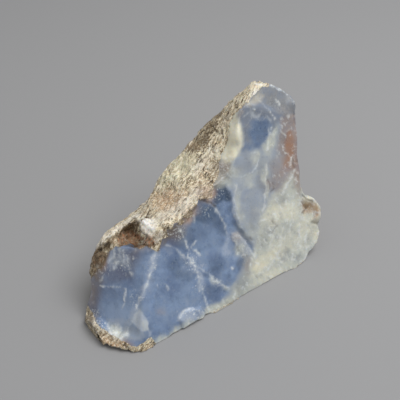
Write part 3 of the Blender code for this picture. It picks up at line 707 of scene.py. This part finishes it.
def level_broken_faces(surface):
    """Puts the broken faces back on their planes, with crisp ledges and with soft ridges where they meet."""
    excess, outwards = [], []
    for point, outward in (FRONT_FACE, LEFT_FACE, RIDGE_BEVEL, TOP_FACET):
        outward = unit(outward)
        beyond = (surface.places - np.array(point)) @ outward
        on_plane = surface.places - np.outer(beyond, outward)
        excess.append(beyond - layered(on_plane, WAVES))
        outwards.append(outward)
    excess[0] -= fracture_relief(face_places(surface))
    shares = np.exp(np.clip(np.array(excess) / RIDGE_SOFTNESS, -EXPONENT_LIMIT, EXPONENT_LIMIT))
    beyond = RIDGE_SOFTNESS * np.log(shares.sum(axis=0))
    outward = (shares / shares.sum(axis=0)).T @ np.array(outwards)
    outward /= np.linalg.norm(outward, axis=1)[:, None]
    facing = smooth_step(*FACES_IT, (surface.normals * outward).sum(axis=1))
    near = smooth_step(*LIES_NEAR, abs(beyond))
    surface.places -= outward * (facing * near * beyond)[:, None]
    surface.face()


def face_places(surface):
    """Each point's place on the front face: along its edge, and up its slope."""
    outward = unit(FRONT_FACE[1])
    on_plane = surface.places - np.outer(surface.places @ outward, outward)
    return np.column_stack((on_plane[:, 0], on_plane @ face_upward()))


def rind_share(surface, view):
    """One on weathered rind and none on the broken faces."""
    ragged = view.photo + sum(far * sideways(surface.places, size, seed) for far, size, seed in RIND_FRAY)
    within = smooth_step(-RIND_EDGE, RIND_EDGE, signed_edge(ragged, FRESH_OUTLINE))
    worn = WORN_SHARE * smooth_step(*WORN_FROM, layered(surface.places, WORN_PATCHES))
    return 1 - within * view.seen - worn * (1 - view.seen)


def marks(photo, lines, width):
    """Thin lines on the photograph, with each half width times the width at that point."""
    found = np.zeros(len(photo))
    for strength, half_width, line in lines:
        across = distance_to_line(photo, line) / half_width / width
        found = np.maximum(found, strength * np.exp(-(across**2)))
    return found


def tints(surface, rind, view):
    """How much of each tint every point has."""
    shaken, finely_shaken = sideways(surface.places, *COARSE_NOISE), sideways(surface.places, *FINE_NOISE)
    blurred, ragged, bent = (
        view.photo + coarse * shaken + fine * finely_shaken
        for coarse, fine in (PATCH_SHIFT, AREA_SHIFT, LINE_SHIFT)
    )
    found = {"rind": rind}
    for name, patches in PATCHES.items():
        clear = np.ones(len(blurred))
        for place in patches:
            clear *= 1 - patch(blurred, *place)
        for strength, softness, outline in AREAS.get(name, []):
            clear *= 1 - strength * smooth_step(-softness, softness, signed_edge(ragged, outline))
        found[name] = (1 - clear) * view.seen
    for name, size, seed, bare, strength in HIDDEN_STAINS:
        stain = strength * spots(surface.places, size, seed, bare, bare + STAIN_EDGE)
        found[name] = np.maximum(found[name], stain * (1 - view.seen))
    broken_up = smooth_step(*BROKEN_FROM, layered(surface.places, BROKEN_UP))
    veins = marks(bent, WHITE_VEINS_AND_HIGHLIGHTS, part_way(VEIN_WIDTHS, broken_up)) * part_way(VEIN_STRENGTHS, broken_up)
    # Painted highlights: the glints go into the vein white.
    for x, y in GLINTS:
        far = np.hypot(*(view.photo + GLINT_SHIFT * finely_shaken - (x, y)).T)
        veins = np.maximum(veins, np.exp(-((far / GLINT_SIZE) ** 2)))
    found["vein"] = veins * view.seen
    # Cracks, with the painted shadow under the rind's lip and the painted shade at the rim's left tip.
    found["crack_and_shade"] = marks(bent, DARK_CRACKS_AND_SHADE_LINES, part_way(CRACK_WIDTHS, broken_up)) * view.seen
    return found


def refine_forms(surface, view):
    """Pushes the cave back under its thin rim, along the line of sight, and fills out the swellings."""
    depth = CAVE_DEPTH * smooth_step(*CAVE_LIP, signed_edge(view.photo, CAVE_OUTLINE)) * view.seen
    surface.places += np.outer(depth, view.ahead)
    height = sum(patch(view.photo, *swelling) for swelling in SWELLINGS)
    surface.places += surface.normals * (height * view.seen)[:, None]
    surface.face()


def roughen(surface, rind, tint, seen):
    """Adds ripples, feathers and raised veins to the broken faces, and grain and pits to the rind."""
    places = surface.places
    broken = layered(places, RIPPLES) + VEIN_RISE * tint["vein"] - CRACK_DEPTH * tint["crack_and_shade"]
    broken += tint["pale"] * layered(drawn_out(places, FEATHERS, FEATHER_STRETCH), FEATHER_RELIEF)
    broken += tint["speckle"] * layered(places, SPECKLE_RELIEF)
    weathered = layered(drawn_out(places, SLOPE, GRAIN_STRETCH), LONG_GRAINS) + layered(places, ROUND_GRAINS)
    weathered -= PIT_DEPTH * spots(places, *PIT_PLACES)
    weathered -= CAVE_PIT_DEPTH * tint["cave"] * spots(places, *CAVE_PIT_PLACES)
    worn = WORN_DEPTH * (1 - seen) * (1 - rind)
    height = (1 - rind) * broken + rind * weathered - worn
    surface.places = places + surface.normals * height[:, None]


def keep_in_box(surface):
    """Holds the points inside the CAD stone's box, which also flattens the underside where it rests."""
    low, high = (np.array(corner) / MM + DRAWING_ORIGIN for corner in cad_box)
    surface.places = np.clip(surface.places, low, high)
    surface.face()


def add(tree, kind, inputs=None, **settings):
    """Adds a node, sets its options, and links or sets its inputs."""
    made = tree.nodes.new(kind)
    for name, value in settings.items():
        setattr(made, name, value)
    for name, value in (inputs or {}).items():
        if isinstance(value, bpy.types.NodeSocket):
            tree.links.new(value, made.inputs[name])
        else:
            made.inputs[name].default_value = value
    return made


def attribute(tree, name):
    """A tint that the mesh carries."""
    return add(tree, "ShaderNodeAttribute", attribute_name=name).outputs["Fac"]


def maths(tree, operation, first, second=0.0, clamp=False):
    """One sum or comparison of two values."""
    return add(tree, "ShaderNodeMath", {0: first, 1: second}, operation=operation, use_clamp=clamp).outputs[0]


def rescaled(tree, value, low, high, to_low=0.0, to_high=1.0):
    """Maps a value from one span to another, with soft ends."""
    inputs = {"Value": value, "From Min": low, "From Max": high, "To Min": to_low, "To Max": to_high}
    return add(tree, "ShaderNodeMapRange", inputs, interpolation_type="SMOOTHSTEP").outputs["Result"]


# The Mix node's sockets for a share and two values, and for a share and two colours.
MIX_VALUES = (0, 2, 3)
MIX_COLOURS = (0, 6, 7)
MIX_COLOUR_RESULT = 2


def mixed(tree, share, first, second):
    """Goes from the first colour to the second as share goes from 0 to 1."""
    node = add(tree, "ShaderNodeMix", data_type="RGBA")
    for number, value in zip(MIX_COLOURS, (share, first, second)):
        socket = node.inputs[number]
        if isinstance(value, bpy.types.NodeSocket):
            tree.links.new(value, socket)
        elif isinstance(value, float):
            socket.default_value = value
        else:
            socket.default_value = (*value, 1)
    return node.outputs[MIX_COLOUR_RESULT]


def between(tree, share, first, second):
    """Goes from the first value to the second as share goes from 0 to 1."""
    return add(tree, "ShaderNodeMix", dict(zip(MIX_VALUES, (share, first, second)))).outputs[0]


def product(tree, *values):
    """Multiplies shares together and holds the result between none and one."""
    total = values[0]
    for value in values[1:]:
        total = maths(tree, "MULTIPLY", total, value, clamp=True)
    return total


def most(tree, *values):
    """The largest of the values."""
    total = values[0]
    for value in values[1:]:
        total = maths(tree, "MAXIMUM", total, value)
    return total


def grainy(tree, place, size, detail=2.0):
    """Noise from 0 to 1 whose grains are about as wide as size, in millimetres."""
    inputs = {"Vector": place, "Scale": 1 / (size * MM), "Detail": detail, "Roughness": 0.6}
    return add(tree, "ShaderNodeTexNoise", inputs).outputs["Fac"]


def drawn_long(tree, place, direction, share=0.6):
    """Squeezes space along a direction, so that noise read there comes out drawn along it."""
    along = unit(direction)
    length = add(tree, "ShaderNodeVectorMath", {0: place, 1: along}, operation="DOT_PRODUCT").outputs["Value"]
    inputs = {0: along * share, "Scale": length}
    stretch = add(tree, "ShaderNodeVectorMath", inputs, operation="SCALE").outputs[0]
    return add(tree, "ShaderNodeVectorMath", {0: place, 1: stretch}, operation="SUBTRACT").outputs[0]


def surface_group(colours):
    """The node group that both materials share: colour, roughness and fine height from the tints."""
    tree = bpy.data.node_groups.new("chalcedony surface", "ShaderNodeTree")
    for name in ("Stone Grain", "Rind Roughness"):
        tree.interface.new_socket(name, in_out="INPUT", socket_type="NodeSocketFloat")
    for name, kind in (("Color", "Color"), ("Roughness", "Float"), ("Height", "Float")):
        tree.interface.new_socket(name, in_out="OUTPUT", socket_type=f"NodeSocket{kind}")
    given = add(tree, "NodeGroupInput").outputs
    place = add(tree, "ShaderNodeTexCoord").outputs["Object"]
    stone, sheen = stone_colour(tree, place, colours)
    crust, grain = rind_colour(tree, place, colours)
    fine = grainy(tree, place, 0.7, 3)
    clinging = maths(tree, "MULTIPLY", maths(tree, "SUBTRACT", fine, 0.5), 1.3)
    rind = rescaled(tree, maths(tree, "ADD", attribute(tree, "rind"), clinging), 0.42, 0.58)
    stone_grain = maths(tree, "MULTIPLY", fine, given["Stone Grain"])
    outputs = {
        "Color": mixed(tree, rind, stone, crust),
        "Roughness": between(tree, rind, sheen, given["Rind Roughness"]),
        "Height": between(tree, rind, stone_grain, grain),
    }
    add(tree, "NodeGroupOutput", outputs)
    return tree


def stone_colour(tree, place, colours):
    """The translucent stone: cloudy blue, with its deeper, milkier and paler parts, stains, veins, painted
    highlights and painted shade lines.
    """
    clouds = grainy(tree, place, 5, 4)
    colour = mixed(tree, rescaled(tree, clouds, 0.30, 0.70), colours.blue, colours.milky)
    wisps = grainy(tree, drawn_long(tree, place, FEATHERS, 0.5), 2.2, 5)
    colour = mixed(tree, product(tree, rescaled(tree, wisps, 0.50, 0.70), 0.30), colour, colours.lilac)
    colour = mixed(tree, product(tree, rescaled(tree, wisps, 0.50, 0.30), 0.45), colour, colours.deep)
    scratches = rescaled(tree, grainy(tree, drawn_long(tree, place, FEATHERS, 0.8), 0.9, 3), 0.60, 0.70)
    colour = mixed(tree, product(tree, scratches, 0.35), colour, colours.lilac)
    patchy = rescaled(tree, grainy(tree, place, 2.0, 4), 0.3, 0.7, 0.84, 1.1)
    for name in STONE_TINTS:
        colour = mixed(tree, product(tree, attribute(tree, name), patchy), colour, getattr(colours, name))
    feathery = drawn_long(tree, place, FEATHERS, 0.82)
    feathers = rescaled(tree, grainy(tree, feathery, 1.5, 4), 0.52, 0.68)
    feathered = most(tree, attribute(tree, "pale"), attribute(tree, "mauve"))
    colour = mixed(tree, product(tree, feathers, feathered, 0.5), colour, colours.white)
    shadows = rescaled(tree, grainy(tree, feathery, 2.6, 4), 0.48, 0.30)
    colour = mixed(tree, product(tree, shadows, attribute(tree, "pale"), 0.4), colour, colours.smoky)
    crystals = grainy(tree, place, 0.6, 2)
    specks = rescaled(tree, crystals, 0.54, 0.66)
    colour = mixed(tree, product(tree, specks, attribute(tree, "speckle"), 0.75), colour, colours.white)
    broken = rescaled(tree, crystals, 0.35, 0.55, 0.55, 1.0)
    # Veins, together with the painted glint highlights and the painted highlight along the bottom edge.
    colour = mixed(tree, product(tree, attribute(tree, "vein"), broken, 0.8), colour, colours.white)
    # Cracks, and the painted shadow line under the rind's lip.
    colour = mixed(tree, product(tree, attribute(tree, "crack_and_shade"), 0.75), colour, colours.dark)
    sheen = rescaled(tree, grainy(tree, place, 1.8, 3), 0.3, 0.7, 0.25, 0.46)
    return colour, sheen


def rind_colour(tree, place, colours):
    """The weathered rind: granular tan with dark pits, and its stains, some of them darkened further as
    painted shade.
    """
    streaky = drawn_long(tree, place, SLOPE, 0.62)
    streaks = grainy(tree, streaky, 0.75, 4)
    fine = grainy(tree, place, 0.35, 2)
    uneven = grainy(tree, place, 2.6, 4)
    colour = mixed(tree, rescaled(tree, uneven, 0.35, 0.65), colours.rind_warm, colours.rind)
    for name in RIND_TINTS:
        stain = rescaled(tree, uneven, 0.3, 0.6, 0.75, 1.1)
        colour = mixed(tree, product(tree, attribute(tree, name), stain, 0.9), colour, getattr(colours, name))
    darker_zone = maths(tree, "MULTIPLY", attribute(tree, "olive_and_shade"), 0.05)
    shade = mixed(tree, product(tree, attribute(tree, "olive_and_shade"), 0.7), colours.rind_shade, colours.dark)
    between_grains = rescaled(tree, maths(tree, "SUBTRACT", streaks, darker_zone), 0.53, 0.44)
    crusty = rescaled(tree, grainy(tree, streaky, 3, 3), 0.35, 0.6, 0.5, 1.0)
    smoother = product(tree, most(tree, attribute(tree, "mossy"), attribute(tree, "ochre")), 0.65)
    lighter_zone = most(tree, attribute(tree, "chalk"), smoother, attribute(tree, "mauve"))
    whiteness = rescaled(tree, lighter_zone, 0.0, 1.0, 1.0, 0.2)
    colour = mixed(tree, product(tree, between_grains, crusty, whiteness), colour, shade)
    brown, white = product(tree, attribute(tree, "olive_and_shade"), 0.95), product(tree, attribute(tree, "chalk"), 0.8)
    stained = most(tree, attribute(tree, "cave"), brown, attribute(tree, "mauve"), white)
    tips = most(tree, rescaled(tree, fine, 0.52, 0.62), rescaled(tree, streaks, 0.54, 0.64))
    pale_grains = product(tree, tips, rescaled(tree, stained, 0.0, 1.0, 0.8, 0.25))
    colour = mixed(tree, pale_grains, colour, colours.tip)
    rusty = rescaled(tree, grainy(tree, place, 0.7, 2), 0.46, 0.56)
    rusty_grains = product(tree, rusty, attribute(tree, "cave"), 0.9)
    colour = mixed(tree, rusty_grains, colour, colours.rust)
    pits = rescaled(tree, grainy(tree, streaky, 0.7, 3), 0.41, 0.32)
    colour = mixed(tree, product(tree, pits, whiteness), colour, colours.dark)
    # Cracks, and the painted shade at the rim's left tip.
    colour = mixed(tree, product(tree, attribute(tree, "crack_and_shade"), 0.7), colour, colours.dark)
    height = maths(tree, "ADD", maths(tree, "MULTIPLY", streaks, 0.6), maths(tree, "MULTIPLY", fine, 0.4))
    return colour, maths(tree, "SUBTRACT", height, maths(tree, "MULTIPLY", pits, 0.5))


def stone_material(name, group, sizes, translucency):
    """A material that shows the shared surface with its own translucency."""
    material = bpy.data.materials.new(name)
    material.use_nodes = True
    tree = material.node_tree
    shader = tree.nodes["Principled BSDF"]
    looks = add(tree, "ShaderNodeGroup", node_tree=group)
    looks.inputs["Stone Grain"].default_value = sizes.stone_grain
    looks.inputs["Rind Roughness"].default_value = sizes.rind_roughness
    inputs = {"Height": looks.outputs["Height"], "Strength": 1.0, "Distance": sizes.bump}
    relief = add(tree, "ShaderNodeBump", inputs)
    tree.links.new(looks.outputs["Color"], shader.inputs["Base Color"])
    tree.links.new(looks.outputs["Roughness"], shader.inputs["Roughness"])
    tree.links.new(relief.outputs["Normal"], shader.inputs["Normal"])
    shader.inputs["IOR"].default_value = STONE_IOR
    shader.inputs["Subsurface Weight"].default_value = translucency
    shader.inputs["Subsurface Radius"].default_value = SCATTER_COLOUR
    shader.inputs["Subsurface Scale"].default_value = SCATTER_REACH
    return material


def dress_mesh(mesh, tint):
    """Scales the mesh to metres, stores the tints on it and gives each face its material."""
    mesh.transform(Matrix.Translation(Vector(-DRAWING_ORIGIN)))
    mesh.transform(Matrix.Scale(MM, 4))
    for name, values in tint.items():
        stored = mesh.attributes.new(name, "FLOAT", "POINT")
        stored.data.foreach_set("value", values.astype(np.float32))
    weathered = [np.mean(tint["rind"][list(face.vertices)]) > 0.5 for face in mesh.polygons]
    mesh.polygons.foreach_set("material_index", np.array(weathered, np.int32))
    mesh.shade_smooth()


def colour_setting(name, description, value):
    """A colour that the user can change."""
    return FloatVectorProperty(
        name=name, description=description, default=value, subtype="COLOR", min=0, max=1
    )


def length_setting(name, description, value):
    """A length that the user can change, in metres."""
    return FloatProperty(name=name, description=description, default=value, min=0.1 * MM, unit="LENGTH")


def place_setting(name, description, value):
    """A place that the user can change, in metres."""
    return FloatVectorProperty(
        name=name, description=description, default=value, subtype="TRANSLATION", unit="LENGTH"
    )


def camera_setting(name, description, value):
    """A measure of the camera that the user can change, in millimetres."""
    return FloatProperty(name=name, description=description, default=value, min=1, unit="CAMERA")


def strength_setting(name, description, value):
    """A strength of light that the user can change."""
    return FloatProperty(name=name, description=description, default=value, min=0)


def share_setting(name, description, value):
    """A share from none to one that the user can change."""
    return FloatProperty(name=name, description=description, default=value, min=0, max=1, subtype="FACTOR")


class ChalcedonyColours(bpy.types.PropertyGroup):
    """The stone's colours."""

    blue: colour_setting("Blue", "The stone's main colour", (0.14, 0.205, 0.345))
    deep: colour_setting("Deep blue", "The clearest, darkest stone", (0.065, 0.105, 0.175))
    violet: colour_setting("Violet grey", "Clear stone on the left face", (0.135, 0.14, 0.20))
    milky: colour_setting("Milky blue", "Cloudier, lighter blue stone", (0.24, 0.33, 0.49))
    lilac: colour_setting("Lilac", "Cloudy greyish blue stone", (0.37, 0.41, 0.46))
    frost: colour_setting("Frost", "Whitish blue flakes and haloes of veins", (0.45, 0.51, 0.61))
    smoky: colour_setting("Smoky grey", "Clear grey stone of the top facet", (0.25, 0.26, 0.275))
    pale: colour_setting("Greenish white", "The pale end of the stone", (0.59, 0.61, 0.535))
    grey: colour_setting("Pale grey", "Clearer parts of the pale end", (0.36, 0.385, 0.385))
    mauve: colour_setting("Mauve", "Brownish stone around the rust", (0.32, 0.275, 0.26))
    cream: colour_setting("Cream", "The bulge below the rind", (0.84, 0.80, 0.62))
    rust: colour_setting("Rust", "Iron stains", (0.38, 0.19, 0.10))
    # Vein white also paints the glint highlights and the bright line of light along the bottom edge.
    white: colour_setting("Vein white", "Healed cracks and crystals", (0.82, 0.85, 0.84))
    # Crack brown also paints the shadow under the rind's lip and the shade at the rim's left tip.
    dark: colour_setting("Crack brown", "Cracks and pits", (0.075, 0.05, 0.028))
    rind: colour_setting("Rind", "Light grains of the rind", (0.74, 0.66, 0.48))
    rind_warm: colour_setting("Warm rind", "Warmer grains of the rind", (0.64, 0.51, 0.34))
    rind_shade: colour_setting("Rind shade", "Dark grains of the rind", (0.20, 0.14, 0.075))
    tip: colour_setting("Grain tips", "Tips of the rind's grains", (0.95, 0.88, 0.70))
    ochre: colour_setting("Ochre", "Orange stains of the rind", (0.56, 0.34, 0.19))
    mossy: colour_setting("Moss grey", "Greenish light parts of the rind", (0.80, 0.76, 0.54))
    # Olive also paints shade at the rim's left tip and on the rind's far side near its upper edge.
    olive_and_shade: colour_setting("Olive", "Dark brown parts of the rind", (0.16, 0.11, 0.05))
    cave: colour_setting("Cave brown", "The cave under the rim", (0.22, 0.12, 0.06))
    chalk: colour_setting("Chalk", "White grains and the knob", (0.95, 0.93, 0.89))


class ChalcedonySizes(bpy.types.PropertyGroup):
    """The stone's detail and translucency."""

    voxel: length_setting("Mesh spacing", "Distance between the fine mesh's points", 0.385 * MM)
    bump: length_setting("Fine bump", "Height of the finest grain", 0.5 * MM)
    translucency: share_setting("Translucency", "Share of light that scatters inside the stone", 0.35)
    stone_grain: share_setting("Stone grain", "Height of the broken faces' grain, next to the rind's", 0.12)
    rind_roughness: share_setting("Rind roughness", "How dull the rind is", 0.92)


class StudioSettings(bpy.types.PropertyGroup):
    """The camera, the floor and the lights."""

    eye: place_setting("Camera", "Where the camera stands", (-91.97 * MM, -126.78 * MM, 149.44 * MM))
    target: place_setting("Target", "What the camera looks at", (5.05 * MM, 4.35 * MM, 22.0 * MM))
    lens: camera_setting("Lens", "Focal length", 60)
    sensor: camera_setting("Sensor", "Width of the sensor", 36)
    floor_size: length_setting("Floor", "Width of the floor", 3.0)
    floor_colour: colour_setting("Floor colour", "The floor's plain grey", (0.315, 0.315, 0.32))
    key_place: place_setting("Key light", "Where the large soft light hangs", (0.20, -0.19, 0.62))
    key_target: place_setting("Key target", "What the large soft light points at", (0, 0, 0.02))
    key_size: length_setting("Key size", "Width of the large soft light", 0.50)
    key_power: strength_setting("Key power", "Power of the large soft light in watts", 3.6)
    sky: strength_setting("Fill", "Strength of the even light from all round", 0.45)


class CHALCEDONY_OT_add_stone(bpy.types.Operator):
    """Builds the detailed stone over the CAD stone"""

    bl_idname = "chalcedony.add_stone"
    bl_label = "Add Stone"
    bl_options = {"REGISTER", "UNDO"}

    def execute(self, context):
        sizes, colours = context.scene.chalcedony_sizes, context.scene.chalcedony_colours
        mesh = fine_mesh(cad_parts[NODE], sizes.voxel / MM)
        surface = Surface(mesh)
        without_facets(surface)
        level_broken_faces(surface)
        view = View(surface, context.scene.chalcedony_studio)
        refine_forms(surface, view)
        rind = rind_share(surface, view)
        tint = tints(surface, rind, view)
        roughen(surface, rind, tint, view.seen)
        keep_in_box(surface)
        dress_mesh(mesh, tint)
        group = surface_group(colours)
        mesh.materials.clear()
        mesh.materials.append(stone_material("broken stone", group, sizes, sizes.translucency))
        mesh.materials.append(stone_material("weathered rind", group, sizes, 0.0))
        stone = bpy.data.objects.new("rough_stone", mesh)
        context.scene.collection.objects.link(stone)
        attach(stone, BODY)
        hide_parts(NODE)
        return {"FINISHED"}


def aimed(context, name, data, start, target):
    """Adds a camera or a light that stands at start and points at the target."""
    made = bpy.data.objects.new(name, data)
    made.location = start
    made.rotation_euler = (Vector(target) - Vector(start)).to_track_quat("-Z", "Y").to_euler()
    context.scene.collection.objects.link(made)
    return made


class CHALCEDONY_OT_add_studio(bpy.types.Operator):
    """Adds the floor, the soft light and the camera"""

    bl_idname = "chalcedony.add_studio"
    bl_label = "Add Studio"
    bl_options = {"REGISTER", "UNDO"}

    def execute(self, context):
        settings = context.scene.chalcedony_studio
        self.add_floor(context, settings)
        self.add_lights(context, settings)
        self.add_camera(context, settings)
        context.scene.view_settings.view_transform = "Standard"
        return {"FINISHED"}

    def add_floor(self, context, settings):
        """A plain matt square."""
        bm = bmesh.new()
        bmesh.ops.create_grid(bm, x_segments=8, y_segments=8, size=settings.floor_size / 2)
        mesh = bpy.data.meshes.new("floor")
        bm.to_mesh(mesh)
        bm.free()
        material = bpy.data.materials.new("floor")
        material.use_nodes = True
        shader = material.node_tree.nodes["Principled BSDF"]
        shader.inputs["Base Color"].default_value = (*settings.floor_colour, 1)
        shader.inputs["Roughness"].default_value = 0.9
        mesh.materials.append(material)
        floor = bpy.data.objects.new("floor", mesh)
        context.scene.collection.objects.link(floor)

    def add_lights(self, context, settings):
        """One large soft light, and an even light from all round."""
        light = bpy.data.lights.new("key", "AREA")
        light.size = settings.key_size
        light.energy = settings.key_power
        aimed(context, "key", light, settings.key_place, settings.key_target)
        world = bpy.data.worlds.new("studio")
        world.use_nodes = True
        background = world.node_tree.nodes["Background"]
        background.inputs["Color"].default_value = (1, 1, 1, 1)
        background.inputs["Strength"].default_value = settings.sky
        context.scene.world = world

    def add_camera(self, context, settings):
        """The photograph's camera."""
        lens = bpy.data.cameras.new("camera")
        lens.lens = settings.lens
        lens.sensor_width = settings.sensor
        lens.clip_start = 0.01
        context.scene.camera = aimed(context, "camera", lens, settings.eye, settings.target)


class CHALCEDONY_PT_panel(bpy.types.Panel):
    """Sizes, colours and buttons in the sidebar"""

    bl_label = "Rough Blue Chalcedony"
    bl_space_type = "VIEW_3D"
    bl_region_type = "UI"
    bl_category = "Chalcedony"

    def draw(self, context):
        layout, scene = self.layout, context.scene
        for settings in (scene.chalcedony_sizes, scene.chalcedony_colours, scene.chalcedony_studio):
            box = layout.box()
            for name in settings.__annotations__:
                box.prop(settings, name)
        layout.operator(CHALCEDONY_OT_add_stone.bl_idname)
        layout.operator(CHALCEDONY_OT_add_studio.bl_idname)


CLASSES = (
    ChalcedonyColours, ChalcedonySizes, StudioSettings, CHALCEDONY_OT_add_stone, CHALCEDONY_OT_add_studio,
    CHALCEDONY_PT_panel,
)


def register():
    for cls in CLASSES:
        bpy.utils.register_class(cls)
    bpy.types.Scene.chalcedony_colours = PointerProperty(type=ChalcedonyColours)
    bpy.types.Scene.chalcedony_sizes = PointerProperty(type=ChalcedonySizes)
    bpy.types.Scene.chalcedony_studio = PointerProperty(type=StudioSettings)


def unregister():
    del bpy.types.Scene.chalcedony_studio
    del bpy.types.Scene.chalcedony_sizes
    del bpy.types.Scene.chalcedony_colours
    for cls in reversed(CLASSES):
        bpy.utils.unregister_class(cls)


def main():
    register()
    bpy.ops.chalcedony.add_stone()
    bpy.ops.chalcedony.add_studio()


if __name__ == "__main__":
    main()
